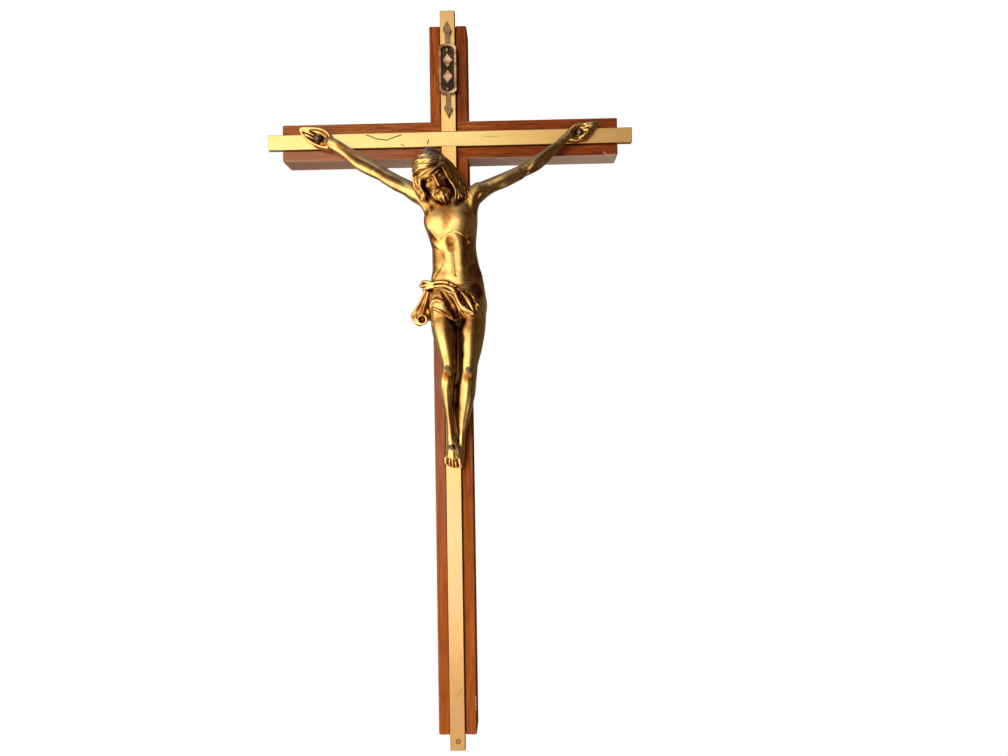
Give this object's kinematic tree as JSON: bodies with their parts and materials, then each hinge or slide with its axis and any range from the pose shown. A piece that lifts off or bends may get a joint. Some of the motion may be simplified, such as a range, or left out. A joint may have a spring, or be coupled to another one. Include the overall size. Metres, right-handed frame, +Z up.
{
  "type": "wall crucifix",
  "caption": "Wooden wall crucifix with brass strips let into its face, a cast brass figure nailed on, a plain title plate and a swinging hanger ring in the back.",
  "frame": {"origin": "on the flat back of the cross, behind the point where the axes of its two boards meet", "axes": "+X to the viewer's right, +Y into the wall, +Z up along the upright"},
  "size_m": [0.126, 0.0298, 0.254],
  "materials": {
    "stained_wood": "satin",
    "strip_brass": "satin",
    "figure_brass": "polished with brown patina",
    "plate_brass": "aged",
    "pin_brass": "polished",
    "nail_steel": "dark patina",
    "screw_steel": "zinc",
    "hanger_brass": "plated"
  },
  "bodies": {
    "cross": {"upright_board": "stained_wood", "cross_board": "stained_wood", "upright_strip": "strip_brass", "cross_strip": "strip_brass", "crossing_screw": "screw_steel", "corpus": "figure_brass", "left_hand_nail": "nail_steel", "right_hand_nail": "nail_steel", "feet_nail": "nail_steel", "title_plate": "plate_brass", "title_plate_pins": "pin_brass", "hanger_strap": "hanger_brass", "hanger_pins": "hanger_brass"},
    "ring": {"hanger_ring": "hanger_brass"}
  },
  "joints": [
    {"name": "ring_swing", "type": "hinge", "parent": "cross", "child": "ring", "pos_m": [0, -0.00153, 0.027], "axis": [1, 0, 0], "range_deg": [-2, 182]}
  ]
}
